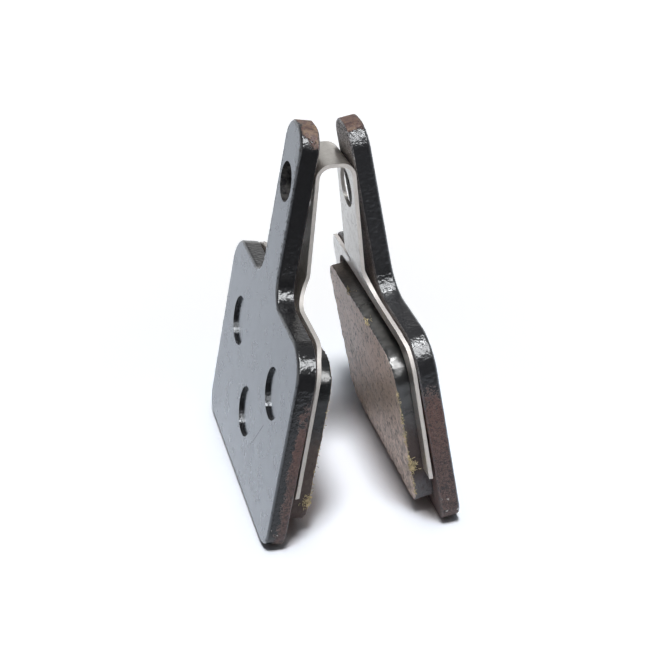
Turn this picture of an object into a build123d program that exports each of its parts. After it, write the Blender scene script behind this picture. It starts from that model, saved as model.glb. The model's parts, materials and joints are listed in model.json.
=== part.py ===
"""Bicycle disc brake pad set: two pads held apart by one folded return spring.

Millimetres. X runs across the pair, Y from front to back and Z up. The set stands
on the lower inner edges of its two backing plates, tops together, as it is taken
out of a caliper, and it is centred on X and Y.
"""

import os
from math import cos, radians, sin, tan

from build123d import *

os.makedirs("parts", exist_ok=True)

# Stance of the pair
lean = 10.5  # angle of each plate from upright, in degrees
ear_half_gap = 1.28  # half the distance between the inner faces at the ears' tops

# Backing plate, a stamped steel sheet with one long ear
plate_thk = 2.0
body_width = 30.4
body_height = 22.7
bottom_corner_r = 2.4
shoulder_corner_r = 3.6
ear_width = 6.1
ear_top = 41.0  # above the bottom edge
ear_top_r = 2.5
ear_root_r = 2.6
outer_edge_r = 0.35  # die roll round the outer face
inner_edge_chamfer = 0.15
pin_bore = 4.15  # clears a 4 mm retaining pin
pin_below_top = 6.3

# Keys pressed into the plate: a shallow dimple outside and a pip inside
dimple_dia = 5.5
dimple_depth = 0.35
pip_dia = 5.2
pip_height = 0.35
key_half_spread = 8.2  # the two upper keys, either side of the middle
key_upper = 14.75
key_lower = 7.8

# Lining moulded on the inner face, smaller than the plate all round
lining_bottom = 1.4  # above the plate's bottom edge
lining_top_margin = 2.7  # below the plate's shoulders
lining_bottom_r = 2.5
lining_top_r = 3.2
left_lining_thk = 2.65
right_lining_thk = 1.95  # this one is worn further down
key_gap = 0.05  # lining's socket is larger than the pip by this

# Return spring, one strip folded over the top between the ears
spring_thk = 0.4
spring_gap = 0.06  # between spring and plate where they bear
bridge_below_ears = 3.2
leg_width = 6.4
leg_splay = 5.5  # angle of each leg from upright, in degrees
joggle_height = 3.6
joggle_below_shoulder = 0.9
arm_relief = 0.3  # how far the arm's end stands off the plate
bend_r = 1.6
arm_width = 2.0
arm_inset = 0.3  # from the plate's edge to the arm's
arm_to_lining = 0.2
arch_to_lining = 0.65
arm_end = 6.2  # above the floor
arm_corner_r = 3.6
arch_corner_r = 3.0
leg_root_r = 2.4
spring_bore = 4.2  # passes the same pin
spring_bore_below_bridge = 3.9

# The broken lower inner edge touches the floor, so the plates sit this much lower
slope = radians(lean)
foot_drop = inner_edge_chamfer * min(cos(slope), sin(slope))

# Sizes that follow from those above
foot_half_gap = ear_half_gap + ear_top * sin(slope)
pin_height = ear_top - pin_below_top
span = body_width - 2 * arm_inset  # across both arms of the spring
lining_width = span - 2 * (arm_width + arm_to_lining)
lining_top = body_height - lining_top_margin
arch_top = lining_top * cos(slope) + arch_to_lining
shoulder_top = arch_top + arm_width
joggle_foot = shoulder_top - joggle_below_shoulder
joggle_top = joggle_foot + joggle_height
bridge_top = ear_top * cos(slope) - bridge_below_ears
spring_bore_height = bridge_top - spring_bore_below_bridge

# Inner faces of the two plates, each with its normal pointing outward
left_face = Plane(
    origin=(-foot_half_gap, 0, -foot_drop), x_dir=(0, -1, 0), z_dir=(-cos(slope), 0, sin(slope))
)
right_face = Plane(
    origin=(foot_half_gap, 0, -foot_drop), x_dir=(0, 1, 0), z_dir=(cos(slope), 0, sin(slope))
)


def level_with(shape, height):
    """Corners of a sketch at one height, from one side to the other."""
    return shape.vertices().filter_by_position(Axis.Y, height - 0.1, height + 0.1).sort_by(Axis.X)


keys = [(-key_half_spread, key_upper), (key_half_spread, key_upper), (0, key_lower)]

with BuildSketch() as plate_shape:
    with Locations((0, body_height / 2)):
        Rectangle(body_width, body_height)
    with Locations((0, (body_height + ear_top) / 2)):
        Rectangle(ear_width, ear_top - body_height)
    fillet(plate_shape.vertices().group_by(Axis.Y)[0], bottom_corner_r)
    fillet(plate_shape.vertices().group_by(Axis.Y)[-1], ear_top_r)
    fillet(level_with(plate_shape, body_height)[1:3], ear_root_r)
    shoulders = level_with(plate_shape, body_height)
    fillet([shoulders[0], shoulders[-1]], shoulder_corner_r)

with BuildPart() as left_plate:
    with BuildSketch(left_face):
        add(plate_shape.sketch)
    extrude(amount=plate_thk)
    across = Axis(left_face.origin, left_face.z_dir)
    fillet(left_plate.faces().sort_by(across)[-1].outer_wire().edges(), outer_edge_r)
    chamfer(left_plate.faces().sort_by(across)[0].outer_wire().edges(), inner_edge_chamfer)
    with BuildSketch(left_face):
        with Locations(*keys):
            Circle(pip_dia / 2)
    extrude(amount=-pip_height)
    with BuildSketch(left_face.offset(plate_thk)):
        with Locations(*keys):
            Circle(dimple_dia / 2)
    extrude(amount=-dimple_depth, mode=Mode.SUBTRACT)
    with BuildSketch(left_face):
        with Locations((0, pin_height)):
            Circle(pin_bore / 2)
    extrude(amount=plate_thk, mode=Mode.SUBTRACT)

with BuildPart() as right_plate:
    mirror(left_plate.part, about=Plane.YZ)

with BuildSketch() as lining_shape:
    with Locations((0, (lining_top + lining_bottom) / 2)):
        Rectangle(lining_width, lining_top - lining_bottom)
    fillet(lining_shape.vertices().group_by(Axis.Y)[-1], lining_top_r)
    fillet(lining_shape.vertices().group_by(Axis.Y)[0], lining_bottom_r)

with BuildPart() as left_lining:
    with BuildSketch(left_face):
        add(lining_shape.sketch)
    extrude(amount=-left_lining_thk)
    with BuildSketch(left_face):
        with Locations(*keys):
            Circle(pip_dia / 2 + key_gap)
    extrude(amount=-pip_height - key_gap, mode=Mode.SUBTRACT)

with BuildPart() as right_lining:
    with BuildSketch(right_face):
        add(lining_shape.sketch)
    extrude(amount=-right_lining_thk)
    with BuildSketch(right_face):
        with Locations(*keys):
            Circle(pip_dia / 2 + key_gap)
    extrude(amount=-pip_height - key_gap, mode=Mode.SUBTRACT)


def plate_x(height, gap):
    """Distance from the middle to a plate's inner face, less a gap, at a height."""
    return foot_half_gap - (height + foot_drop) * tan(slope) - gap / cos(slope)


# Outer surface of one half of the spring, from its top corner to the end of an arm.
# The legs bear on the ears just below the bridge's bends.
ear_bearing = bridge_top - bend_r
splay = tan(radians(leg_splay))
bearing_x = plate_x(ear_bearing, spring_gap)
half_fold = [
    (bearing_x - (bridge_top - ear_bearing) * splay, bridge_top),
    (bearing_x + (ear_bearing - joggle_top) * splay, joggle_top),
    (plate_x(joggle_foot, spring_gap), joggle_foot),
    (plate_x(arm_end - 1, arm_relief), arm_end - 1),
]
fold = [(-x, z) for x, z in reversed(half_fold)] + half_fold

with BuildPart() as spring:
    with BuildSketch(Plane.XZ):
        with BuildLine():
            FilletPolyline(*fold, radius=bend_r)
            offset(amount=spring_thk, side=Side.RIGHT)
        make_face()
    extrude(amount=span / 2, both=True)
    with BuildSketch(Plane.YZ) as front_view:
        with Locations((0, (bridge_top + arch_top) / 2 + 1)):
            Rectangle(leg_width, bridge_top - arch_top + 2)
        with Locations((0, (shoulder_top + arm_end) / 2)):
            Rectangle(span, shoulder_top - arm_end)
        with Locations((0, (arch_top + arm_end) / 2)):
            Rectangle(span - 2 * arm_width, arch_top - arm_end, mode=Mode.SUBTRACT)
        fillet(level_with(front_view, arch_top), arch_corner_r)
        fillet(level_with(front_view, shoulder_top)[1:3], leg_root_r)
        shoulders = level_with(front_view, shoulder_top)
        fillet([shoulders[0], shoulders[-1]], arm_corner_r)
    extrude(amount=2 * foot_half_gap, both=True, mode=Mode.INTERSECT)
    with BuildSketch(Plane.YZ):
        with Locations((0, spring_bore_height)):
            Circle(spring_bore / 2)
    extrude(amount=2 * foot_half_gap, both=True, mode=Mode.SUBTRACT)

left_plate.part.label = "left_plate"
right_plate.part.label = "right_plate"
left_lining.part.label = "left_lining"
right_lining.part.label = "right_lining"
spring.part.label = "return_spring"

export_step(left_plate.part, "parts/left_plate.step")
export_step(right_plate.part, "parts/right_plate.step")
export_step(left_lining.part, "parts/left_lining.step")
export_step(right_lining.part, "parts/right_lining.step")
export_step(spring.part, "parts/return_spring.step")
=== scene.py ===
import json
import math
import random
from collections import namedtuple
from functools import reduce

import bpy
from bpy.props import FloatProperty, FloatVectorProperty, IntProperty, PointerProperty
from mathutils import Matrix, Vector


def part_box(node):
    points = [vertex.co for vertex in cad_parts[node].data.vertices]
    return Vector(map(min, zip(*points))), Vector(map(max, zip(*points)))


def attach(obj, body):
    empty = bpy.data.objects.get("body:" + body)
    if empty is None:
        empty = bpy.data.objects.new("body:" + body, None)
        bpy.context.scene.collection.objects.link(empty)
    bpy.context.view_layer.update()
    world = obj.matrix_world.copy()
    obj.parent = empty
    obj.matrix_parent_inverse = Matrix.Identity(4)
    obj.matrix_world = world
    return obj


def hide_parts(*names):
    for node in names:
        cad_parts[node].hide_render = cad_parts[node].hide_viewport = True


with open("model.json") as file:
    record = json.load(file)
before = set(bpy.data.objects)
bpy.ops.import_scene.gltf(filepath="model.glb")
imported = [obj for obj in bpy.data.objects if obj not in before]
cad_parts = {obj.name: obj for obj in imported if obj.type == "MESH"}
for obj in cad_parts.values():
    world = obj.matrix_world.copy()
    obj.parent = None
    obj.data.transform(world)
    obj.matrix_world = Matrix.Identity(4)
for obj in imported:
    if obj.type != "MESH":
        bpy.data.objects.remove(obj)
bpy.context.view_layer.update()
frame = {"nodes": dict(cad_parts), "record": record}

bl_info = {
    "name": "Disc brake pad set",
    "version": (1, 0, 0),
    "blender": (4, 5, 0),
    "location": "View3D > Sidebar > Brake pads",
    "description": "Dresses a packed pair of disc brake pads and their return spring",
    "category": "Object",
}

# Pieces are in metres and materials in millimetres. On a pad, a height runs up the plate's face
# from its foot, a depth outward through the plate from its inner face, and along is the frame's
# Y, from front to back. Two numbers for a ramp say where an effect begins and where it is full.
# Three numbers for a noise are its grains per millimetre, its detail and its roughness.
MM = 0.001
PER_MM = 1000.0

# The plates lean by the angle that their outer faces show
OUTWARD = Vector(
    next(m["axis"] for m in frame["record"]["mounts"] if m["name"] == "right_back_face")
)
LEAN = math.asin(OUTWARD.z / OUTWARD.length)
SINE, COSINE = math.sin(LEAN), math.cos(LEAN)
LINING_BOTTOM = 1.4 * MM
FOOT_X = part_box("right_lining")[1][0] + LINING_BOTTOM * SINE


def color_property(name, description, default):
    """A colour that the user can change, in linear light."""
    return FloatVectorProperty(
        name=name,
        description=description,
        default=default,
        size=3,
        min=0.0,
        max=1.0,
        subtype="COLOR",
    )


def length_property(name, description, default):
    """A length that the user can change. The default is given in millimetres."""
    return FloatProperty(
        name=name, description=description, default=default * MM, unit="LENGTH", precision=6
    )


def power_property(name, description, default):
    """A lamp's power that the user can change."""
    return FloatProperty(name=name, description=description, default=default, unit="POWER")


class PlateFinish(bpy.types.PropertyGroup):
    """Paint, rust and bare steel of the backing plates"""

    paint: color_property("Paint", "Black paint of the plates", (0.009, 0.009, 0.010))
    rust: color_property("Rust", "Brown rust on the cut edges", (0.112, 0.060, 0.056))
    rust_dark: color_property("Dark rust", "Darker grains in the rust", (0.026, 0.017, 0.018))
    rust_red: color_property("Red rust", "Redder grains higher up", (0.138, 0.056, 0.042))
    rust_pale: color_property("Pale rust", "Pale grains in the rust", (0.20, 0.165, 0.15))
    rust_bloom: color_property("Rust bloom", "Orange spots in the rust", (0.270, 0.178, 0.105))
    speck: color_property("Specks", "Specks on the inner faces", (0.17, 0.145, 0.135))
    # painted light: this pale speck tone marks where more light reaches the ears' inner faces
    lit_ear_speck: color_property("Ear specks", "Specks inside the ears' tops", (0.58, 0.54, 0.53))
    bare: color_property("Bare steel", "Steel without its paint", (0.52, 0.50, 0.47))
    peel: length_property("Orange peel", "Depth of the ripple in the paint", 0.006)
    tear: length_property("Torn edge", "Depth of the grain on the cut edges", 0.15)


class LiningFinish(bpy.types.PropertyGroup):
    """Sizes and colours of the friction linings"""

    width: length_property("Width", "Lining's width", 25.4)
    height: length_property("Height", "Lining's height", 18.6)
    left_thickness: length_property("Left thickness", "Left lining's thickness", 2.65)
    right_thickness: length_property("Right thickness", "Right lining's thickness", 1.95)
    top_round: length_property("Top round", "Radius of the top corners", 3.2)
    bottom_round: length_property("Bottom round", "Radius of the bottom corners", 2.5)
    grain: length_property("Grain", "Size of a mesh cell", 0.15)
    compound: color_property("Compound", "Worn friction compound", (0.770, 0.622, 0.552))
    # painted light: this paler tone high on the face stands in for the bright table that the face
    # mirrors there
    pale: color_property("Pale compound", "Compound high on the face", (0.98, 0.815, 0.745))
    # the stain colour also paints a slanted band of shade across the worn face
    stain: color_property("Stain", "Browner patches in the compound", (0.300, 0.225, 0.160))
    pit: color_property("Pits", "Dark pits in the compound", (0.110, 0.086, 0.075))
    brass: color_property("Brass", "Brass fibres", (0.680, 0.570, 0.340))
    left_side: color_property("Left side", "Left lining's unworn side", (0.058, 0.036, 0.032))
    right_side: color_property("Right side", "Right lining's unworn side", (0.066, 0.048, 0.048))
    foot: color_property("Foot", "Greyer foot of the right side", (0.140, 0.136, 0.150))
    crown: color_property("Crown", "Bare back part of the top", (0.085, 0.070, 0.060))
    streak: color_property("Streaks", "Paler streaks on the sides", (0.105, 0.078, 0.070))
    overspray: color_property("Overspray", "Paint on the upper sides", (0.010, 0.011, 0.012))
    fringe: IntProperty(
        name="Fringe",
        description="Loose fibres along the right lining's front edge",
        default=220,
        min=1,
    )
    tuft: IntProperty(
        name="Tuft", description="Loose fibres in a tuft on a front edge", default=170, min=1
    )


class SpringFinish(bpy.types.PropertyGroup):
    """Stainless strip of the return spring"""

    steel: color_property("Steel", "Satin face of the strip", (0.79, 0.765, 0.725))
    # the stain colour also paints shade on the bridge's top
    stain: color_property("Stain", "Dull marks on the strip", (0.46, 0.43, 0.39))
    pit: color_property("Pits", "Dark pits in the strip", (0.10, 0.08, 0.06))
    cut: color_property("Cut edge", "Sheared edges of the strip", (0.53, 0.50, 0.485))


class StageSetup(bpy.types.PropertyGroup):
    """Floor, lamps and camera"""

    floor: color_property("Floor", "White table", (0.90, 0.90, 0.905))
    near_floor: color_property("Near floor", "Table round the pads", (0.905, 0.938, 0.990))
    half_shade: color_property("Half shade", "Table beside the pads", (0.82, 0.885, 0.99))
    deep_shade: color_property("Deep shade", "Table under the pads", (0.46, 0.40, 0.375))
    mirror_floor: color_property("Mirrored floor", "Table in reflections", (0.90, 0.935, 1.0))
    glare: FloatProperty(
        name="Glare", description="How much brighter than lit the table shows", default=1.25
    )
    key_power: power_property("Key lamp", "Power of the lamp overhead", 1.9)
    fill_power: power_property("Fill lamp", "Power of the low lamp in front", 0.12)
    shine_power: power_property("Shine", "Power of the panel that shows in reflections", 3.9)
    sky: FloatProperty(
        name="Sky", description="Strength of the white surroundings", default=0.075
    )
    sky_tint: color_property("Sky tint", "Light from the surroundings", (0.80, 0.90, 1.0))
    focal: FloatProperty(
        name="Focal length", description="Camera's focal length in mm", default=78.15
    )


class NodeBench:
    """Adds nodes to a tree and joins them up."""

    def __init__(self, tree):
        self.tree = tree

    def add(self, kind, inputs=None, **settings):
        node = self.tree.nodes.new(kind)
        for key, value in settings.items():
            setattr(node, key, value)
        self.fill(node, inputs or {})
        return node

    def fill(self, node, inputs):
        """Joins a node's inputs to other nodes, or sets them."""
        for key, value in inputs.items():
            if isinstance(value, bpy.types.NodeSocket):
                self.tree.links.new(value, node.inputs[key])
            else:
                node.inputs[key].default_value = value

    def math(self, operation, first, second=0.0, clamp=False):
        inputs = {0: first, 1: second}
        node = self.add("ShaderNodeMath", inputs, operation=operation, use_clamp=clamp)
        return node.outputs[0]

    def plus(self, *values):
        return reduce(lambda first, second: self.math("ADD", first, second), values)

    def times(self, *values):
        return reduce(lambda first, second: self.math("MULTIPLY", first, second), values)

    def most(self, *values):
        """The largest of some values."""
        return reduce(lambda first, second: self.math("MAXIMUM", first, second), values)

    def minus(self, first, second, clamp=False):
        return self.math("SUBTRACT", first, second, clamp)

    def absolute(self, value):
        return self.math("ABSOLUTE", value)

    def swing(self, noise, share):
        """A noise moved to swing about 0."""
        return self.times(self.minus(noise, 0.5), share)

    def split(self, vector):
        return self.add("ShaderNodeSeparateXYZ", {0: vector}).outputs

    def ramp(self, value, low, high, smooth=True):
        """0 below low and 1 above high; low may be above high."""
        ends = (low, high, 0.0, 1.0) if low < high else (high, low, 1.0, 0.0)
        kind = "SMOOTHSTEP" if smooth else "LINEAR"
        inputs = dict(enumerate((value, *ends)))
        return self.add("ShaderNodeMapRange", inputs, interpolation_type=kind).outputs[0]

    def blend(self, factor, first, second):
        """A colour between two colours."""
        first, second = (
            colour if isinstance(colour, bpy.types.NodeSocket) else (*colour, 1.0)
            for colour in (first, second)
        )
        inputs = {0: factor, 6: first, 7: second}
        return self.add("ShaderNodeMix", inputs, data_type="RGBA").outputs[2]

    def between(self, factor, first, second):
        """A value between two values."""
        inputs = {0: factor, 2: first, 3: second}
        return self.add("ShaderNodeMix", inputs, data_type="FLOAT").outputs[0]

    def noise(self, vector, scale, detail=2.0, roughness=0.5):
        inputs = {"Vector": vector, "Scale": scale, "Detail": detail, "Roughness": roughness}
        return self.add("ShaderNodeTexNoise", inputs).outputs[0]

    def emboss(self, shader, height, strength=1.0):
        """Gives a shader's surface a height in millimetres."""
        inputs = {"Strength": strength, "Distance": MM, "Height": height}
        self.fill(shader, {"Normal": self.add("ShaderNodeBump", inputs).outputs[0]})


def shade(colour, share):
    """A darker or brighter tone of a colour."""
    return [channel * share for channel in colour]


def millimetres(bench):
    """Object coordinates in millimetres, and the normal."""
    place = bench.add("ShaderNodeTexCoord").outputs
    inputs = {0: place["Object"], "Scale": PER_MM}
    scaled = bench.add("ShaderNodeVectorMath", inputs, operation="SCALE")
    return scaled.outputs[0], place["Normal"]


def new_group(name, outputs, inputs=()):
    group = bpy.data.node_groups.new(name, "ShaderNodeTree")
    for label, default in inputs:
        socket = group.interface.new_socket(
            label, in_out="INPUT", socket_type="NodeSocketFloat"
        )
        socket.default_value = default
    for label in outputs:
        group.interface.new_socket(label, in_out="OUTPUT", socket_type="NodeSocketFloat")
    return group


# Which way a surface faces, as the outward or the forward share of its normal
EDGE_FACING = (0.75, 0.35)
FLANK_FACING = (0.3, 0.8)
INWARD_FACING = (-0.5, -0.85)
RIM_FROM_FACE = (0.998, 0.96)
RIM_TO_EDGE = (0.2, 0.5)
LEFT_TO_RIGHT = (-1.0, 1.0)  # across the middle of the pair


def pad_zones():
    """Where a point lies on its pad, and masks for the side it is on and the way it faces.

    Edge holds the cut edges, Flank all that faces forward or back, Inward the inner face, and
    Rim the rolled edge of the outer face. Right is 1 on the right pad and 0 on the left one.
    """
    name = "Pad zones"
    if name in bpy.data.node_groups:
        return bpy.data.node_groups[name]
    labels = ("Along", "Depth", "Height", "Right", "Edge", "Flank", "Inward", "Rim")
    group = new_group(name, labels)
    bench = NodeBench(group)
    spot, facing = millimetres(bench)
    at, turn = bench.split(spot), bench.split(facing)
    off = bench.minus(bench.absolute(at[0]), FOOT_X * PER_MM)
    sideways = bench.times(turn[0], bench.math("SIGN", at[0]))
    outward = bench.plus(bench.times(sideways, COSINE), bench.times(turn[2], SINE))
    rim = bench.times(bench.ramp(outward, *RIM_FROM_FACE), bench.ramp(outward, *RIM_TO_EDGE))
    values = {
        "Along": at[1],
        "Depth": bench.plus(bench.times(off, COSINE), bench.times(at[2], SINE)),
        "Height": bench.minus(bench.times(at[2], COSINE), bench.times(off, SINE)),
        "Right": bench.ramp(at[0], *LEFT_TO_RIGHT),
        "Edge": bench.ramp(bench.absolute(outward), *EDGE_FACING),
        "Flank": bench.ramp(bench.absolute(turn[1]), *FLANK_FACING),
        "Inward": bench.ramp(outward, *INWARD_FACING),
        "Rim": rim,
    }
    bench.add("NodeGroupOutput", values)
    return group


def speckle():
    """Scattered specks: 1 inside a speck and 0 elsewhere."""
    name = "Speckle"
    if name in bpy.data.node_groups:
        return bpy.data.node_groups[name]
    group = new_group(name, ("Mask",), (("Scale", 2.0), ("Size", 0.2), ("Share", 0.3)))
    bench = NodeBench(group)
    spot, _ = millimetres(bench)
    given = bench.add("NodeGroupInput").outputs
    inputs = {"Vector": spot, "Scale": given["Scale"]}
    cells = bench.add("ShaderNodeTexVoronoi", inputs).outputs
    near = bench.math("LESS_THAN", cells["Distance"], given["Size"])
    chosen = bench.add("ShaderNodeSeparateColor", {0: cells["Color"]}).outputs[0]
    kept = bench.math("LESS_THAN", chosen, given["Share"])
    bench.add("NodeGroupOutput", {"Mask": bench.times(near, kept)})
    return group


def new_material(name):
    material = bpy.data.materials.new(name)
    material.use_nodes = True
    material.node_tree.nodes.clear()
    bench = NodeBench(material.node_tree)
    shader = bench.add("ShaderNodeBsdfPrincipled")
    bench.add("ShaderNodeOutputMaterial", {"Surface": shader.outputs[0]})
    return material, bench, shader


def use_group(bench, group, **inputs):
    node = bench.add("ShaderNodeGroup", node_tree=group)
    bench.fill(node, inputs)
    return node.outputs


def specks(bench, scale, size, share):
    """Specks: cells per millimetre, a speck's size in its cell, and the share that holds one."""
    return use_group(bench, speckle(), Scale=scale, Size=size, Share=share)["Mask"]


# Paint and rust, from coarse to fine
Wear = namedtuple("Wear", "patches lumps grain")
WEAR = Wear((0.45, 3.0, 0.55), (1.9, 3.0, 0.6), (6.0, 3.0, 0.65))

# The scratch: its ends (along and height), its width, its tapering ends and the gaps in it
SCRATCH_FROM = Vector((-3.7, 5.5))
SCRATCH_TO = Vector((-7.4, 10.6))
SCRATCH_WIDTH = (0.10, 0.03)
SCRATCH_TAPER = 0.3
SCRATCH_GAPS = (0.40, 0.52)
OUTER_FACE = (1.5, 1.9)  # depths


def scratch(bench, zone, grain):
    """The one scratch in the left plate's outer face, broken up by the grain."""
    run = SCRATCH_TO - SCRATCH_FROM
    way = run.normalized()
    forth = bench.minus(zone["Along"], SCRATCH_FROM.x)
    up = bench.minus(zone["Height"], SCRATCH_FROM.y)
    along = bench.plus(bench.times(forth, way.x), bench.times(up, way.y))
    across = bench.minus(bench.times(forth, way.y), bench.times(up, way.x))
    return bench.times(
        bench.ramp(bench.absolute(across), *SCRATCH_WIDTH),
        bench.ramp(along, 0.0, SCRATCH_TAPER),
        bench.ramp(along, run.length, run.length - SCRATCH_TAPER),
        bench.ramp(grain, *SCRATCH_GAPS),
        bench.ramp(zone["Depth"], *OUTER_FACE),
        bench.minus(1.0, zone["Right"]),
    )


# Rust: how far its borders wander with the patches and lumps, in millimetres
LUMP_SHARE = 0.8
DEPTH_WANDER = 1.3
SKIRT_WANDER = 6.0
TIP_WANDER = 1.6
# How much deeper it reaches on the right plate. At the ear it starts higher by TIP_LIFT times that
RUST_LEAD = 0.75
TIP_LIFT = 1.6
# Heights and depths of the rusty skirt and of the rusty tip
SKIRT_HEIGHT = (19.0, 14.0)
SKIRT_DEPTH = (1.5, 0.6)
TIP_HEIGHT = (39.0, 39.8)
TIP_DEPTH = (1.5, 0.4)
# The ear's crest, where rust reaches deeper by so much
CREST_HEIGHT = (39.9, 40.7)
CREST_LEAD = 0.9
# The rusty margin of the inner face: away from its middle, and at its foot
SIDE_MARGIN = (12.4, 13.2)
FOOT_MARGIN = (2.6, 1.4)
# How the grain breaks rust up, and how thin it may fade
RUST_GRAIN = 1.5
RUST_BREAKS = (0.25, 0.75)
RUST_FADE = (0.02, 0.2)


def creeping_rust(bench, zone, wear):
    """Masks of all the rust, and of the rust at the ears' tops.

    It creeps from the inner face over the cut edges, below the shoulders and at the ears' tops,
    and further on the right plate than on the left one.
    """
    wander = bench.plus(bench.swing(wear.patches, 1.0), bench.swing(wear.lumps, LUMP_SHARE))
    lead = bench.times(zone["Right"], RUST_LEAD)
    depth = bench.minus(bench.plus(zone["Depth"], bench.times(wander, DEPTH_WANDER)), lead)
    low = bench.plus(zone["Height"], bench.times(wander, SKIRT_WANDER))
    low = bench.ramp(low, *SKIRT_HEIGHT)
    skirt = bench.times(low, bench.ramp(depth, *SKIRT_DEPTH), zone["Flank"])
    high = bench.minus(zone["Height"], bench.times(lead, TIP_LIFT))
    high = bench.plus(high, bench.times(wander, TIP_WANDER))
    crest = bench.times(bench.ramp(zone["Height"], *CREST_HEIGHT), CREST_LEAD)
    tip = bench.ramp(bench.minus(depth, crest), *TIP_DEPTH)
    tip = bench.times(bench.ramp(high, *TIP_HEIGHT), tip)
    cover = bench.most(zone["Edge"], bench.times(zone["Rim"], zone["Right"]))
    margin = bench.most(
        bench.ramp(bench.absolute(zone["Along"]), *SIDE_MARGIN),
        bench.ramp(zone["Height"], *FOOT_MARGIN),
    )
    margin = bench.times(margin, zone["Inward"], low)
    rust = bench.most(bench.times(bench.most(skirt, tip), cover), margin)
    broken = bench.plus(rust, bench.swing(wear.grain, RUST_GRAIN))
    rust = bench.times(bench.ramp(broken, *RUST_BREAKS), bench.ramp(rust, *RUST_FADE))
    return rust, tip


# Tones of the rust: which grains show them, and how strongly
GRAIN_SHARE = 0.7  # of the grain in the unevenness, the rest being lumps
DARK_GRAINS = (0.60, 0.40)
RED_HEIGHT = (6.0, 13.0)
RED_GRAINS = (0.38, 0.52)
RED_SHARE = 0.55
PALE_GRAINS = (0.60, 0.70)
PALE_SHARE = 0.5
BLOOM_LUMPS = (0.38, 0.74)
TIP_BLOOM = (0.85, 0.5)  # on the left ear and on the right one
LEAST_BLOOM = 0.12


def rust_colour(bench, zone, wear, tip, finish):
    """Brown rust with darker, redder and paler grains, and orange spots at the ears' tops."""
    uneven = bench.between(GRAIN_SHARE, wear.lumps, wear.grain)
    colour = bench.blend(bench.ramp(uneven, *DARK_GRAINS), finish.rust, finish.rust_dark)
    red = bench.ramp(zone["Height"], *RED_HEIGHT)
    red = bench.times(red, bench.ramp(wear.grain, *RED_GRAINS), RED_SHARE)
    colour = bench.blend(red, colour, finish.rust_red)
    bloom = bench.times(tip, bench.between(zone["Right"], *TIP_BLOOM))
    bloom = bench.times(bench.ramp(wear.lumps, *BLOOM_LUMPS), bench.plus(bloom, LEAST_BLOOM))
    colour = bench.blend(bloom, colour, finish.rust_bloom)
    pale = bench.times(bench.ramp(wear.grain, *PALE_GRAINS), PALE_SHARE)
    return bench.blend(pale, colour, finish.rust_pale)


# Bare steel: chips near the plates' feet, and the wall of the pin hole
CHIPS = (1.6, 0.22, 0.30)
CHIP_HEIGHT = (5.5, 2.5)
CHIP_GRAINS = (0.42, 0.5)
PIN_HEIGHT = 34.7
HOLE_WALL = (2.45, 2.2)  # radii
RUBBED_LUMPS = (0.38, 0.62)
RUBBED_SHARE = 0.12


def bare_spots(bench, zone, wear):
    """Mask of bare steel: chips low on the cut edges, and the hole's wall, rubbed by the pin."""
    chips = bench.times(
        specks(bench, *CHIPS),
        bench.ramp(zone["Height"], *CHIP_HEIGHT),
        bench.ramp(wear.grain, *CHIP_GRAINS),
        zone["Edge"],
    )
    above = bench.minus(zone["Height"], PIN_HEIGHT)
    square = bench.plus(bench.times(above, above), bench.times(zone["Along"], zone["Along"]))
    rubbed = bench.times(
        bench.ramp(bench.math("SQRT", square), *HOLE_WALL),
        bench.ramp(wear.lumps, *RUBBED_LUMPS),
        zone["Edge"],
        RUBBED_SHARE,
    )
    return bench.most(chips, rubbed)


# Marks in the gloss: nicks on the rim and along the ear's borders, and dust
EAR_BORDER = (1.7, 2.8)  # from the ear's middle
EAR_HEIGHT = (24.0, 26.0)
BORDER_SHARE = 0.09
BORDER_FADE = (0.01, 0.03)
NICKS = (2.8, 3.0, 0.6)
NICK_GRAINS = (0.60, 0.66)
DUST = (0.9, 0.085, 0.25)
DUST_SHARE = 0.5


def gloss_marks(bench, spot, zone, grain):
    """Mask of nicks, the scratch and dust, where the paint has lost its gloss."""
    border = bench.times(
        bench.ramp(bench.absolute(zone["Along"]), *EAR_BORDER),
        bench.ramp(zone["Height"], *EAR_HEIGHT),
        bench.ramp(zone["Depth"], *OUTER_FACE),
        BORDER_SHARE,
    )
    nicks = bench.ramp(bench.plus(bench.noise(spot, *NICKS), border), *NICK_GRAINS)
    nicks = bench.times(nicks, bench.most(zone["Rim"], bench.ramp(border, *BORDER_FADE)))
    dust = bench.times(specks(bench, *DUST), DUST_SHARE)
    return bench.most(nicks, scratch(bench, zone, grain), dust)


# Relief of the paint and of the cut edges, which is calmer on the left plate and below the
# right plate's shoulders
PEEL = (1.5, 2.0, 0.45)
POCKS = (2.4, 2.0, 0.5)
POCK_GRAIN = 0.15
LEFT_TEAR = 0.40
LOW_TEAR = 0.5
LOW_TEAR_HEIGHT = (24.5, 22.5)
RUST_RELIEF = 0.10


def paint_relief(bench, spot, zone, grain, rust, finish):
    """Height of the paint's ripple, and of the torn and rusty grain on the cut edges."""
    peel = bench.times(bench.noise(spot, *PEEL), finish.peel * PER_MM)
    right_tear = bench.between(bench.ramp(zone["Height"], *LOW_TEAR_HEIGHT), 1.0, LOW_TEAR)
    tear = bench.times(bench.between(zone["Right"], LEFT_TEAR, right_tear), finish.tear * PER_MM)
    torn = bench.plus(bench.noise(spot, *POCKS), bench.times(grain, POCK_GRAIN))
    torn = bench.plus(bench.times(torn, tear), bench.times(grain, rust, RUST_RELIEF))
    return bench.plus(peel, bench.times(torn, zone["Edge"]))


# Paint on the cut edges is thin and paler: left plate and right plate
THIN_PAINT = (1.6, 2.4)
# Specks on the inner faces, made paler towards the ears' tops as painted light
SPECK_GRAINS = (0.45, 0.60)
LIT_EAR_SPECK_HEIGHT = (37.0, 39.5)
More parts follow.
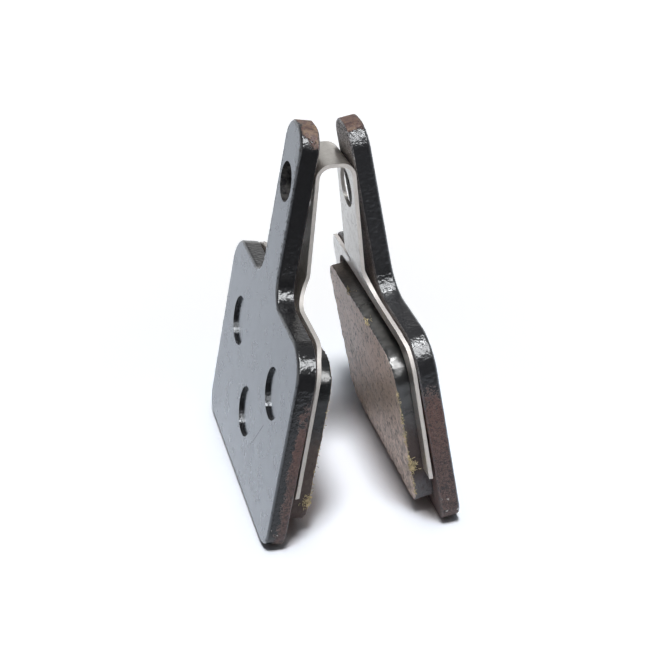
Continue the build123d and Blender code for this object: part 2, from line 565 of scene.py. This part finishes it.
# Roughness of the painted faces, of the cut edges on both plates, of the inner faces and of rust
DULL_PATCHES = (0.35, 0.7)
FACE_ROUGHNESS = (0.20, 0.30)
EDGE_ROUGHNESS = (0.16, 0.22)
INNER_ROUGHNESS = 0.6
RUST_ROUGHNESS = 0.52
PAINT_SHADER = {
    "IOR": 1.5,
    "Specular Tint": (0.96, 0.98, 1.0, 1.0),
    "Coat IOR": 1.7,
    "Coat Tint": (0.86, 0.92, 1.0, 1.0),
    "Coat Roughness": 0.16,
}


def worn_paint(finish):
    """Gloss black paint, worn and rusted along the cut edges."""
    material, bench, shader = new_material("worn_black_paint")
    spot, _ = millimetres(bench)
    zone = use_group(bench, pad_zones())
    right, edge, inward = zone["Right"], zone["Edge"], zone["Inward"]
    wear = Wear(*(bench.noise(spot, *kind) for kind in WEAR))
    rust, tip = creeping_rust(bench, zone, wear)
    bare = bare_spots(bench, zone, wear)
    thin = bench.blend(right, *(shade(finish.paint, share) for share in THIN_PAINT))
    paint = bench.blend(edge, finish.paint, thin)
    # painted light: the specks turn paler towards the ears' tops, standing in for the light that
    # reaches the top of the inner faces
    high = bench.ramp(zone["Height"], *LIT_EAR_SPECK_HEIGHT)
    speck = bench.blend(high, finish.speck, finish.lit_ear_speck)
    inner = bench.blend(bench.ramp(wear.grain, *SPECK_GRAINS), finish.rust_dark, speck)
    colour = bench.blend(inward, paint, inner)
    colour = bench.blend(rust, colour, rust_colour(bench, zone, wear, tip, finish))
    rough = bench.between(bench.ramp(wear.patches, *DULL_PATCHES), *FACE_ROUGHNESS)
    rough = bench.between(edge, rough, bench.between(right, *EDGE_ROUGHNESS))
    rough = bench.between(inward, rough, INNER_ROUGHNESS)
    dull = bench.most(rust, edge, inward, gloss_marks(bench, spot, zone, wear.grain))
    finished = {
        "Base Color": bench.blend(bare, colour, finish.bare),
        "Roughness": bench.between(rust, rough, RUST_ROUGHNESS),
        "Metallic": bare,
        "Coat Weight": bench.minus(1.0, dull, clamp=True),
    }
    bench.fill(shader, finished | PAINT_SHADER)
    bench.emboss(shader, paint_relief(bench, spot, zone, wear.grain, rust, finish))
    return material


# The compound: broad tints, crumbs, and streaks drawn out on a slant
TINTS = (0.35, 3.0, 0.55)
CRUMBS = (1.8, 4.0, 0.65)
STREAKS = (1.0, 4.0, 0.65)
STREAK_TURN = (0.35, 0.0, 0.0)
STREAK_SCALE = (1.3, 1.7, 0.8)
PITS = (0.54, 0.62)  # of the crumbs
# The worn face: dark streaks, the polished back part, the paler top, which is painted light, and
# the brown stain, made of real browner patches and a slanted band of painted shade
DARK_STREAK = 0.52
STREAK_TONES = (0.42, 0.58)
POLISHED_ALONG = (-9.0, 2.0)
POLISHED_SHARE = 0.3
LIT_TOP_HEIGHT = (9.0, 16.0)
LIT_TOP_SHARE = 0.75
SHADE_BAND_SLANT = 0.65
SHADE_BAND_BEGIN = (4.5, 7.5)
SHADE_BAND_END = (12.0, 9.0)
STAIN_TINTS = (0.42, 0.62)
TINT_SHARE = 0.3
STAIN_AND_SHADE_SHARE = 0.52
PIT_SHARE = 0.7
FLECKS = (1.1, 0.16, 0.25)
FLECK_STREAKS = (0.42, 0.5)
FLECK_SHARE = 0.75

Compound = namedtuple("Compound", "tint streak crumb pits polished")


def worn_face(bench, zone, stuff, finish):
    """Colour of the worn face: streaks, a top made paler with painted light, browner patches with a
    slanted band of painted shade, dark pits and brass flecks.
    """
    tones = bench.ramp(stuff.streak, *STREAK_TONES)
    colour = bench.blend(tones, shade(finish.compound, DARK_STREAK), finish.compound)
    even = bench.times(stuff.polished, POLISHED_SHARE)
    colour = bench.blend(even, colour, finish.compound)
    # painted light: the compound is made paler towards the top of the face, standing in for the
    # bright table mirrored there
    pale = bench.times(bench.ramp(zone["Height"], *LIT_TOP_HEIGHT), LIT_TOP_SHARE)
    colour = bench.blend(pale, colour, finish.pale)
    # painted shade: a browner band runs down the face from its front top corner, standing in for
    # the shaded table mirrored there; the browner patches from the tints are real stain
    slant = bench.plus(zone["Height"], bench.times(zone["Along"], SHADE_BAND_SLANT))
    shade_band = bench.times(bench.ramp(slant, *SHADE_BAND_BEGIN), bench.ramp(slant, *SHADE_BAND_END))
    brown = bench.plus(bench.times(bench.ramp(stuff.tint, *STAIN_TINTS), TINT_SHARE), shade_band)
    brown = bench.math("MULTIPLY", brown, STAIN_AND_SHADE_SHARE, clamp=True)
    colour = bench.blend(brown, colour, finish.stain)
    colour = bench.blend(bench.times(stuff.pits, PIT_SHARE), colour, finish.pit)
    open_streaks = bench.ramp(stuff.streak, *FLECK_STREAKS)
    flecks = bench.times(specks(bench, *FLECKS), open_streaks, FLECK_SHARE)
    return bench.blend(flecks, colour, finish.brass)


# The unworn sides: paint from above, the bare back of the crown, the grey foot and the streaks
SIDE_WANDER = 5.0
PAINTED_HEIGHT = (9.5, 14.5)
CROWN_FLANK = (0.75, 0.15)
CROWN_HEIGHT = (17.5, 19.0)
CROWN_ALONG = (-2.0, 9.0)
GREY_HEIGHT = (6.5, 4.0)
SIDE_STREAKS = (0.45, 0.7)
SIDE_STREAK_SHARE = 0.55


def unworn_side(bench, zone, stuff, finish):
    """Colour of the lining's sides, and the mask of the paint that reached them."""
    wander = bench.swing(stuff.crumb, SIDE_WANDER)
    painted = bench.ramp(bench.plus(zone["Height"], wander), *PAINTED_HEIGHT)
    crown = bench.times(
        bench.ramp(zone["Flank"], *CROWN_FLANK),
        bench.ramp(zone["Height"], *CROWN_HEIGHT),
        bench.ramp(bench.plus(zone["Along"], wander), *CROWN_ALONG),
    )
    painted = bench.minus(painted, crown, clamp=True)
    grey = bench.times(bench.ramp(zone["Height"], *GREY_HEIGHT), zone["Right"])
    streaks = bench.times(bench.ramp(stuff.streak, *SIDE_STREAKS), SIDE_STREAK_SHARE)
    colour = bench.blend(zone["Right"], finish.left_side, finish.right_side)
    for mask, tone in (
        (grey, finish.foot),
        (crown, finish.crown),
        (streaks, finish.streak),
        (painted, finish.overspray),
    ):
        colour = bench.blend(mask, colour, tone)
    return colour, painted


# Roughness of the bare and painted sides, and of the open and polished face
SIDE_ROUGHNESS = (0.8, 0.23)
WORN_ROUGHNESS = (0.45, 0.28)
# Relief of streaks and pits, and what paint leaves of it
STREAK_RELIEF = 0.18
PIT_RELIEF = -0.10
PAINTED_RELIEF = 0.08
OVERSPRAY_SHADER = {"Coat IOR": 1.6, "Coat Roughness": 0.34}


def friction_compound(finish):
    """Worn friction compound with pits and brass flecks; dark and unworn at the sides."""
    material, bench, shader = new_material("friction_compound")
    spot, _ = millimetres(bench)
    zone = use_group(bench, pad_zones())
    inputs = {"Vector": spot, "Rotation": STREAK_TURN, "Scale": STREAK_SCALE}
    drawn = bench.add("ShaderNodeMapping", inputs).outputs[0]
    crumb = bench.noise(spot, *CRUMBS)
    stuff = Compound(
        tint=bench.noise(spot, *TINTS),
        streak=bench.noise(drawn, *STREAKS),
        crumb=crumb,
        pits=bench.ramp(crumb, *PITS),
        # the face is open along the front edge and polished further back
        polished=bench.ramp(zone["Along"], *POLISHED_ALONG),
    )
    face = worn_face(bench, zone, stuff, finish)
    side, painted = unworn_side(bench, zone, stuff, finish)
    face_rough = bench.between(stuff.polished, *WORN_ROUGHNESS)
    side_rough = bench.between(painted, *SIDE_ROUGHNESS)
    smooth = bench.times(painted, bench.minus(1.0, zone["Inward"]))
    finished = {
        "Base Color": bench.blend(zone["Inward"], side, face),
        "Roughness": bench.between(zone["Inward"], side_rough, face_rough),
        "Coat Weight": bench.times(smooth, zone["Right"]),
    }
    bench.fill(shader, finished | OVERSPRAY_SHADER)
    height = bench.times(stuff.streak, STREAK_RELIEF)
    height = bench.plus(height, bench.times(stuff.pits, PIT_RELIEF))
    height = bench.times(height, bench.between(smooth, 1.0, PAINTED_RELIEF))
    bench.emboss(shader, height)
    return material


FIBRE_SHADES = (3.0, 1.0)
BRIGHT_FIBRES = (0.35, 0.6)
DULL_FIBRE = 0.5
FIBRE_ROUGHNESS = (0.4, 0.75)


def brass_fibre(finish):
    """Loose brass fibres, some bright and some dull."""
    material, bench, shader = new_material("brass_fibre")
    spot, _ = millimetres(bench)
    shades = bench.noise(spot, *FIBRE_SHADES)
    bright = bench.ramp(shades, *BRIGHT_FIBRES)
    finished = {
        "Base Color": bench.blend(bright, shade(finish.brass, DULL_FIBRE), finish.brass),
        "Roughness": bench.between(shades, *FIBRE_ROUGHNESS),
    }
    bench.fill(shader, finished)
    return material


# The strip: rolling lines along it, dull marks, grain and pits, and a darker bridge top, which is
# painted shade
ROLLING_SCALE = (1.0, 16.0, 0.35)
ROLLING = (1.0, 3.0, 0.6)
ROLLING_RELIEF = 0.002
ROLLING_STRENGTH = 0.7
MARKS = (1.4, 4.0, 0.65)
MARK_TONES = (0.45, 0.75)
MARK_SHARE = 0.5
STEEL_GRAIN = (5.5, 2.0, 0.6)
STEEL_GRAINS = (0.52, 0.68)
STEEL_GRAIN_SHARE = 0.35
STEEL_PITS = (1.0, 0.10, 0.35)
STEEL_PIT_SHARE = 0.6
SHADED_BRIDGE_HEIGHT = (35.2, 36.2)
BRIDGE_SHADE_SHARE = 0.35
# Sheared edges: those that face forward or back, and below the bridge those that face up or down
SHEARED_FACING = (0.6, 0.85)
LEDGE_FACING = (0.6, 0.4)
LEDGE_HEIGHT = (32.0, 30.0)
SHEARED_SHARE = 0.7
# painted shade: the left leg's sheared edges are darker, standing in for the left ear's shadow on
# them
SHADED_LEFT_LEG = (-2.5, -1.0)  # across the pair
LEFT_LEG_SHADE = 0.6
STEEL_ROUGHNESS = (0.32, 0.42)  # clean and marked
SHEARED_ROUGHNESS = 0.68
SHEARED_METAL = 0.25


def spring_strip(finish):
    """Satin stainless strip with rolling lines, dull marks and matt sheared edges."""
    material, bench, shader = new_material("satin_stainless")
    spot, facing = millimetres(bench)
    at, turn = bench.split(spot), bench.split(facing)
    marks = bench.ramp(bench.noise(spot, *MARKS), *MARK_TONES)
    grain = bench.ramp(bench.noise(spot, *STEEL_GRAIN), *STEEL_GRAINS)
    # painted shade: the bridge's top is darkened with the stain colour, toning down the bright sky
    # that it mirrors
    bridge = bench.ramp(at[2], *SHADED_BRIDGE_HEIGHT)
    colour = finish.steel
    for mask, share, tone in (
        (marks, MARK_SHARE, finish.stain),
        (grain, STEEL_GRAIN_SHARE, finish.stain),
        (specks(bench, *STEEL_PITS), STEEL_PIT_SHARE, finish.pit),
        (bridge, BRIDGE_SHADE_SHARE, finish.stain),
    ):
        colour = bench.blend(bench.times(mask, share), colour, tone)
    ledge = bench.ramp(bench.absolute(turn[0]), *LEDGE_FACING)
    ledge = bench.times(ledge, bench.ramp(at[2], *LEDGE_HEIGHT))
    cut = bench.most(bench.ramp(bench.absolute(turn[1]), *SHEARED_FACING), ledge)
    # painted shade on the sheared edges of the left leg
    shaded_leg = bench.ramp(at[0], *SHADED_LEFT_LEG)
    sheared = bench.blend(shaded_leg, shade(finish.cut, LEFT_LEG_SHADE), finish.cut)
    rough = bench.between(marks, *STEEL_ROUGHNESS)
    finished = {
        "Base Color": bench.blend(bench.times(cut, SHEARED_SHARE), colour, sheared),
        "Roughness": bench.between(cut, rough, SHEARED_ROUGHNESS),
        "Metallic": bench.between(cut, 1.0, SHEARED_METAL),
    }
    bench.fill(shader, finished)
    inputs = {"Vector": spot, "Scale": ROLLING_SCALE}
    lines = bench.add("ShaderNodeMapping", inputs).outputs[0]
    height = bench.times(bench.noise(lines, *ROLLING), ROLLING_RELIEF)
    bench.emboss(shader, height, ROLLING_STRENGTH)
    return material


def showing_rays(bench):
    """Rays that show a thing, straight or mirrored, and the mirrored ones alone."""
    rays = bench.add("ShaderNodeLightPath").outputs
    mirrored = rays["Is Glossy Ray"]
    return bench.most(rays["Is Camera Ray"], mirrored, rays["Is Transmission Ray"]), mirrored


# The table: faint clouds, the shade round the pads, and a glow that grows with the distance
CLOUDS = (0.01, 2.0)
CLOUD_SHARE = 0.3
CLOUD_TONE = 0.985
SHADE_REACH = 9 * MM
SHADE_SAMPLES = 3
HALF_SHADE = (0.78, 0.58)  # of the open sky
DEEP_SHADE = (0.60, 0.22)
WHITE_REACH = (20.0, 40.0)  # from the middle of the pads
GLOW_REACH = (22.0, 200.0)
GLOW = 0.6
MIRRORED_GLOW = 0.35
TABLE_SHADER = {
    "Roughness": 0.3,
    "Specular IOR Level": 0.12,
    "Emission Color": (1.0, 1.0, 1.0, 1.0),
}


def white_table(setup):
    """White table. Half shade on it is cool, and the shade right under the pads warm and dark."""
    material, bench, shader = new_material("white_table")
    spot, _ = millimetres(bench)
    clouds = bench.times(bench.noise(spot, *CLOUDS), CLOUD_SHARE)
    lit = bench.blend(clouds, setup.floor, shade(setup.floor, CLOUD_TONE))
    seen, mirrored = showing_rays(bench)
    tones = (setup.near_floor, setup.half_shade, setup.deep_shade, setup.floor)
    near, half, deep, white = (shade(tone, setup.glare) for tone in tones)
    inputs = {"Distance": SHADE_REACH}
    sky = bench.add("ShaderNodeAmbientOcclusion", inputs, samples=SHADE_SAMPLES).outputs["AO"]
    shown = bench.blend(bench.ramp(sky, *HALF_SHADE), near, half)
    shown = bench.blend(bench.ramp(sky, *DEEP_SHADE), shown, deep)
    reach = bench.add("ShaderNodeVectorMath", {0: spot}, operation="LENGTH").outputs["Value"]
    shown = bench.blend(bench.ramp(reach, *WHITE_REACH), shown, white)
    shown = bench.blend(mirrored, shown, setup.mirror_floor)
    glow = bench.times(seen, bench.between(mirrored, 1.0, MIRRORED_GLOW))
    far = bench.times(bench.ramp(reach, *GLOW_REACH, smooth=False), GLOW)
    finished = {
        "Base Color": bench.blend(seen, lit, shown),
        "Emission Strength": bench.times(glow, far),
    }
    bench.fill(shader, finished | TABLE_SHADER)
    return material


CARD_CLOUDS = 0.05
CARD_TONES = ((0.02, 0.02, 0.02), (0.03, 0.03, 0.03))
CARD_ROUGHNESS = 0.9


def dark_paper():
    """Matt black paper."""
    material, bench, shader = new_material("dark_card")
    spot, _ = millimetres(bench)
    colour = bench.blend(bench.noise(spot, CARD_CLOUDS), *CARD_TONES)
    bench.fill(shader, {"Base Color": colour, "Roughness": CARD_ROUGHNESS})
    return material


def dress(names, material):
    """Gives CAD nodes a material in place of the plain one they came with."""
    for name in names:
        slots = frame["nodes"][name].material_slots
        for slot in slots:
            slot.material = material
        if not slots:
            raise RuntimeError(f"{name} has no material slot")


def only(piece):
    """Selects one piece and nothing else."""
    bpy.ops.object.select_all(action="DESELECT")
    piece.select_set(True)
    bpy.context.view_layer.objects.active = piece


def select_edges(piece, test):
    """In edit mode, selects the edges whose two ends pass a test."""
    bpy.ops.mesh.select_mode(type="EDGE")
    bpy.ops.mesh.select_all(action="DESELECT")
    bpy.ops.object.mode_set(mode="OBJECT")
    points = piece.data.vertices
    for edge in piece.data.edges:
        edge.select = test(points[edge.vertices[0]].co, points[edge.vertices[1]].co)
    bpy.ops.object.mode_set(mode="EDIT")


def pad_frame(side):
    """Frame of a plate's inner face: along it, up it and outward. Side is -1 or 1."""
    along = Vector((0, side, 0))
    up = Vector((-side * SINE, 0, COSINE))
    out = Vector((side * COSINE, 0, SINE))
    turn = Matrix((along, up, out)).transposed().to_4x4()
    return Matrix.Translation((side * FOOT_X, 0, 0)) @ turn


def settle(piece, side):
    """Puts a piece made flat into its place on a plate, and leaves its object at the origin."""
    only(piece)
    piece.matrix_world = pad_frame(side) @ piece.matrix_world
    bpy.ops.object.transform_apply(location=True, rotation=True, scale=True)


def roughen(piece, size, depth, middle, layers, group=""):
    """Presses a cloudy grain into a piece, or into one group of its points."""
    texture = bpy.data.textures.new(f"{piece.name}_clouds", "CLOUDS")
    texture.noise_scale = size
    texture.noise_depth = layers
    modifier = piece.modifiers.new("grain", "DISPLACE")
    modifier.texture = texture
    modifier.texture_coords = "LOCAL"
    modifier.strength = -depth
    modifier.mid_level = middle
    modifier.vertex_group = group
    only(piece)
    bpy.ops.object.modifier_apply(modifier=modifier.name)


class PADS_OT_plates(bpy.types.Operator):
    """Paint the two backing plates and rust their cut edges"""

    bl_idname = "pads.plates"
    bl_label = "Backing plates"

    def execute(self, context):
        dress(("left_plate", "right_plate"), worn_paint(context.scene.pad_plates))
        return {"FINISHED"}


CORNER_STEPS = 12
TOUCHING = 1e-6
# Grain of the worn face and waves of the whole lining: size, depth, middle level and layers
FACE_GRAIN = (0.45 * MM, 0.17 * MM, 0.4, 2)
LINING_WAVES = (1.3 * MM, 0.10 * MM, 0.5, 1)
GRAIN_SQUEEZE = 0.4


class PADS_OT_linings(bpy.types.Operator):
    """Model the two friction linings, with their worn and grainy faces"""

    bl_idname = "pads.linings"
    bl_label = "Linings"

    def execute(self, context):
        finish = context.scene.pad_linings
        material = friction_compound(finish)
        for name, side, thickness in (
            ("left_lining", -1, finish.left_thickness),
            ("right_lining", 1, finish.right_thickness),
        ):
            block = self.block(finish, thickness)
            block.name = f"{name}_block"
            settle(block, side)
            block.data.materials.append(material)
            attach(block, "root")
            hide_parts(name)
        return {"FINISHED"}

    def block(self, finish, thickness):
        """A lining made flat, with its back on the plate's face and its bottom edge in place."""
        bpy.ops.object.select_all(action="DESELECT")
        middle = LINING_BOTTOM + finish.height / 2
        bpy.ops.mesh.primitive_cube_add(size=1, location=(0, middle, -thickness / 2))
        block = bpy.context.active_object
        block.scale = (finish.width, finish.height, thickness)
        bpy.ops.object.transform_apply(location=True, rotation=True, scale=True)

        def is_corner(a, b, upper):
            through = abs(a.z - b.z) > thickness / 2
            outermost = abs(a.x) > finish.width / 2 - TOUCHING
            return through and outermost and (a.y > middle) == upper

        bpy.ops.object.mode_set(mode="EDIT")
        for upper, radius in ((True, finish.top_round), (False, finish.bottom_round)):
            select_edges(block, lambda a, b: is_corner(a, b, upper))
            bpy.ops.mesh.bevel(offset=radius, segments=CORNER_STEPS, affect="EDGES")
        bpy.ops.object.mode_set(mode="OBJECT")
        only(block)
        remesh = block.modifiers.new("cells", "REMESH")
        remesh.mode = "VOXEL"
        remesh.voxel_size = finish.grain
        bpy.ops.object.modifier_apply(modifier=remesh.name)
        worn = block.vertex_groups.new(name="worn")
        face = finish.grain / 2 - thickness
        worn.add([p.index for p in block.data.vertices if p.co.z < face], 1.0, "REPLACE")
        self.squeeze(block, GRAIN_SQUEEZE)
        roughen(block, *FACE_GRAIN, worn.name)
        self.squeeze(block, 1 / GRAIN_SQUEEZE)
        roughen(block, *LINING_WAVES)
        bpy.ops.object.shade_smooth()
        return block

    def squeeze(self, block, share):
        """Shortens a lining, so that a grain made then is drawn out upward when it is put back."""
        only(block)
        block.scale = (1, share, 1)
        bpy.ops.object.transform_apply(location=False, rotation=False, scale=True)


FIBRE_SEED = 7
# The left lining has a quarter of the right one's fringe, and a tuft at the top has a sixth of
# the fibres of one on the front edge
LEFT_FRINGE_PART = 4
TOP_TUFT_PART = 6
# Tufts: how far in from the front edge, and how high, in millimetres
LEFT_TUFTS = ((0, 4.7),)
RIGHT_TUFTS = ((0, 7.0), (16.4, 20.0), (9.2, 20.0))
# The fringe: its ends above the lining's bottom and below its top, and the ranges drawn from
FRINGE_FOOT = 2 * MM
FRINGE_HEAD = 3.4 * MM
FRINGE_INWARD = (-0.02, 0.12)
FRINGE_DEEP = (-0.02, 0.10)
FRINGE_REACH = (0.12, 0.34)
# Tufts on the front edge and at the top: the spread along the edge, and the range across it
FRONT_SPREAD = 0.42
FRONT_INWARD = (-0.03, 0.12)
TOP_SPREAD = 0.35
TOP_SINK = (-0.12, 0.02)
TUFT_DEEP = 0.30
TUFT_REACH = (0.20, 0.42)
# One fibre, a millimetre long before it is scaled
FIBRE_SIDES = 5
FIBRE_FOOT = 0.15 * MM
FIBRE_TIP = 0.06 * MM
FIBRE_CUTS = 3
FIBRE_CURL = 1.4
FIBRE_TILT = 1.1
FULL_TURN = 2 * math.pi


class PADS_OT_fibres(bpy.types.Operator):
    """Fray the linings' edges with loose brass fibres"""

    bl_idname = "pads.fibres"
    bl_label = "Loose fibres"

    def execute(self, context):
        finish = context.scene.pad_linings
        material = brass_fibre(finish)
        left_fringe = finish.fringe // LEFT_FRINGE_PART
        for name, side, thickness, fringe, tufts in (
            ("left_fibres", -1, finish.left_thickness, left_fringe, LEFT_TUFTS),
            ("right_fibres", 1, finish.right_thickness, finish.fringe, RIGHT_TUFTS),
        ):
            draw = random.Random(FIBRE_SEED + side)
            fibre = self.fibre()
            roots = self.roots(draw, finish, fringe, tufts)
            copies = [self.plant(fibre, draw, side, finish, thickness, *root) for root in roots]
            bpy.data.objects.remove(fibre)
            only(copies[0])
            for copy in copies:
                copy.select_set(True)
            bpy.ops.object.join()
            fuzz = bpy.context.active_object
            fuzz.name = name
            bpy.ops.object.transform_apply(location=True, rotation=True, scale=True)
            settle(fuzz, side)
            fuzz.data.materials.append(material)
            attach(fuzz, "root")
        return {"FINISHED"}

    def roots(self, draw, finish, fringe, tufts):
        """Where fibres grow: in from the front edge, up, in from the face, and how long each is."""
        low = LINING_BOTTOM + FRINGE_FOOT
        high = LINING_BOTTOM + finish.height - FRINGE_HEAD
        for _ in range(fringe):
            inward = draw.uniform(*FRINGE_INWARD) * MM
            height = draw.uniform(low, high)
            deep = draw.uniform(*FRINGE_DEEP) * MM
            yield inward, height, deep, draw.uniform(*FRINGE_REACH)
        for tuft_inward, tuft_height in tufts:
            top = tuft_inward > 0
            for _ in range(finish.tuft // TOP_TUFT_PART if top else finish.tuft):
                inward = draw.gauss(0, TOP_SPREAD) if top else draw.uniform(*FRONT_INWARD)
                height = draw.uniform(*TOP_SINK) if top else draw.gauss(0, FRONT_SPREAD)
                deep = abs(draw.gauss(0, TUFT_DEEP)) * MM
                yield (
                    (tuft_inward + inward) * MM,
                    (tuft_height + height) * MM,
                    deep,
                    draw.uniform(*TUFT_REACH),
                )

    def plant(self, fibre, draw, side, finish, thickness, inward, height, deep, reach):
        """One copy of the fibre, turned at random on the flat lining."""
        copy = fibre.copy()
        copy.data = fibre.data.copy()
        bpy.context.collection.objects.link(copy)
        swing = Matrix.Rotation(draw.uniform(0, FULL_TURN), 4, "Y")
        tilt = Matrix.Rotation(draw.uniform(-FIBRE_TILT, FIBRE_TILT), 4, "Z")
        spin = Matrix.Rotation(draw.uniform(0, FULL_TURN), 4, "Z")
        spot = (-side * (finish.width / 2 - inward), height, -thickness + deep)
        turn = swing @ tilt @ spin
        copy.matrix_world = Matrix.Translation(spot) @ turn @ Matrix.Scale(reach, 4)
        return copy

    def fibre(self):
        """One curled fibre, a millimetre long, standing on the origin."""
        bpy.ops.object.select_all(action="DESELECT")
        bpy.ops.mesh.primitive_cone_add(
            vertices=FIBRE_SIDES,
            radius1=FIBRE_FOOT,
            radius2=FIBRE_TIP,
            depth=MM,
            location=(0, 0, MM / 2),
        )
        fibre = bpy.context.active_object
        bpy.ops.object.transform_apply(location=True)
        bpy.ops.object.mode_set(mode="EDIT")
        select_edges(fibre, lambda a, b: abs(a.z - b.z) > MM / 2)
        bpy.ops.mesh.subdivide(number_cuts=FIBRE_CUTS)
        bpy.ops.object.mode_set(mode="OBJECT")
        curl = fibre.modifiers.new("curl", "SIMPLE_DEFORM")
        curl.deform_method = "BEND"
        curl.deform_axis = "X"
        curl.angle = FIBRE_CURL
        only(fibre)
        bpy.ops.object.modifier_apply(modifier=curl.name)
        return fibre


class PADS_OT_spring(bpy.types.Operator):
    """Finish the folded return spring in satin stainless steel"""

    bl_idname = "pads.spring"
    bl_label = "Return spring"

    def execute(self, context):
        dress(("return_spring",), spring_strip(context.scene.pad_spring))
        return {"FINISHED"}


TABLE_SIZE = 3.0
# The card: its middle and size, and the way its front edge is turned up
CARD_PLACE = (0, -0.142, 0.0005)
CARD_SIZE = (0.4, 0.2, 1)
CARD_FLAP = (0, -0.02, 0.12)
# Lamps: where they stand and how wide they are; all are aimed at one point
KEY_PLACE, KEY_WIDTH = (-0.035, -0.127, 0.45), 0.11
FILL_PLACE, FILL_WIDTH = (-0.18, -0.45, 0.13), 0.25
SHINE_PLACE, SHINE_WIDTH, SHINE_HEIGHT = (0.09, -0.29, 0.38), 0.44, 0.22
LAMP_AIM = Vector((0, 0, 0.015))
# The surroundings as reflections show them: dimmer above this share of the way up
SKY_DIMS = (0.25, 0.45)
DIM_SKY = 0.34
WHITE = (1.0, 1.0, 1.0)
# The camera, fitted to the photo: its place, how far it looks down and how far it is turned
CAMERA_PLACE = (-34.12 * MM, -128.62 * MM, 89.30 * MM)
CAMERA_DIP = 28.38
CAMERA_TURN = -14.73
SENSOR_WIDTH = 36.0
NEAREST_SEEN = 0.005


class PADS_OT_stage(bpy.types.Operator):
    """Set the pads on a white table under soft lamps, seen from the front left"""

    bl_idname = "pads.stage"
    bl_label = "Stage"

    def execute(self, context):
        setup = context.scene.pad_stage
        self.table(setup)
        self.card()
        self.sky(context.scene, setup)
        self.lamp("key", KEY_PLACE, KEY_WIDTH, setup.key_power)
        self.lamp("fill", FILL_PLACE, FILL_WIDTH, setup.fill_power)
        panel = self.lamp("shine", SHINE_PLACE, SHINE_WIDTH, setup.shine_power)
        panel.data.shape = "ELLIPSE"
        panel.data.size_y = SHINE_HEIGHT
        panel.visible_diffuse = False
        self.camera(context.scene, setup)
        context.scene.view_settings.view_transform = "Standard"
        return {"FINISHED"}

    def table(self, setup):
        bpy.ops.object.select_all(action="DESELECT")
        bpy.ops.mesh.primitive_plane_add(size=TABLE_SIZE)
        table = bpy.context.active_object
        table.name = "table"
        table.data.materials.append(white_table(setup))

    def card(self):
        """A dark card lying in front of the view, which shows only in reflections."""
        bpy.ops.object.select_all(action="DESELECT")
        bpy.ops.mesh.primitive_plane_add(size=1.0, location=CARD_PLACE)
        card = bpy.context.active_object
        card.name = "dark_card"
        card.scale = CARD_SIZE
        bpy.ops.object.transform_apply(location=True, rotation=True, scale=True)
        bpy.ops.object.mode_set(mode="EDIT")
        select_edges(card, lambda a, b: max(a.y, b.y) < CARD_PLACE[1])
        bpy.ops.mesh.extrude_region_move(TRANSFORM_OT_translate={"value": CARD_FLAP})
        bpy.ops.object.mode_set(mode="OBJECT")
        card.data.materials.append(dark_paper())
        card.visible_camera = False
        card.visible_diffuse = False
        card.visible_shadow = False

    def sky(self, scene, setup):
        """White surroundings that light the pads only faintly."""
        world = bpy.data.worlds.new("white_surroundings")
        world.use_nodes = True
        world.node_tree.nodes.clear()
        bench = NodeBench(world.node_tree)
        seen, mirrored = showing_rays(bench)
        toward = bench.add("ShaderNodeTexCoord").outputs["Generated"]
        dim = bench.between(bench.ramp(bench.split(toward)[2], *SKY_DIMS), 1.0, DIM_SKY)
        shown = bench.between(mirrored, 1.0, dim)
        inputs = {
            "Color": bench.blend(seen, setup.sky_tint, WHITE),
            "Strength": bench.between(seen, setup.sky, shown),
        }
        glow = bench.add("ShaderNodeBackground", inputs)
        bench.add("ShaderNodeOutputWorld", {"Surface": glow.outputs[0]})
        scene.world = world

    def lamp(self, name, place, size, power):
        bpy.ops.object.light_add(type="AREA", location=place)
        lamp = bpy.context.active_object
        lamp.name = name
        lamp.data.shape = "DISK"
        lamp.data.size = size
        lamp.data.energy = power
        lamp.rotation_euler = (LAMP_AIM - Vector(place)).to_track_quat("-Z", "Y").to_euler()
        return lamp

    def camera(self, scene, setup):
        bpy.ops.object.camera_add(location=CAMERA_PLACE)
        camera = bpy.context.active_object
        camera.rotation_euler = (math.radians(90 - CAMERA_DIP), 0, math.radians(CAMERA_TURN))
        camera.data.lens = setup.focal
        camera.data.sensor_width = SENSOR_WIDTH
        camera.data.clip_start = NEAREST_SEEN
        scene.camera = camera


class PADS_PT_workbench(bpy.types.Panel):
    """Brake pads in the sidebar"""

    bl_label = "Brake pads"
    bl_space_type = "VIEW_3D"
    bl_region_type = "UI"
    bl_category = "Brake pads"

    def draw(self, context):
        scene = context.scene
        for settings, operators in (
            (scene.pad_plates, (PADS_OT_plates,)),
            (scene.pad_linings, (PADS_OT_linings, PADS_OT_fibres)),
            (scene.pad_spring, (PADS_OT_spring,)),
            (scene.pad_stage, (PADS_OT_stage,)),
        ):
            box = self.layout.box()
            for key in settings.__annotations__:
                box.prop(settings, key)
            for operator in operators:
                box.operator(operator.bl_idname)


SETTINGS = (
    ("pad_plates", PlateFinish),
    ("pad_linings", LiningFinish),
    ("pad_spring", SpringFinish),
    ("pad_stage", StageSetup),
)
TOOLS = (
    PADS_OT_plates,
    PADS_OT_linings,
    PADS_OT_fibres,
    PADS_OT_spring,
    PADS_OT_stage,
    PADS_PT_workbench,
)


def register():
    for name, group in SETTINGS:
        bpy.utils.register_class(group)
        setattr(bpy.types.Scene, name, PointerProperty(type=group))
    for tool in TOOLS:
        bpy.utils.register_class(tool)


def unregister():
    for tool in reversed(TOOLS):
        bpy.utils.unregister_class(tool)
    for name, group in reversed(SETTINGS):
        delattr(bpy.types.Scene, name)
        bpy.utils.unregister_class(group)


def main():
    register()
    bpy.ops.pads.plates()
    bpy.ops.pads.linings()
    bpy.ops.pads.fibres()
    bpy.ops.pads.spring()
    bpy.ops.pads.stage()


if __name__ == "__main__":
    main()
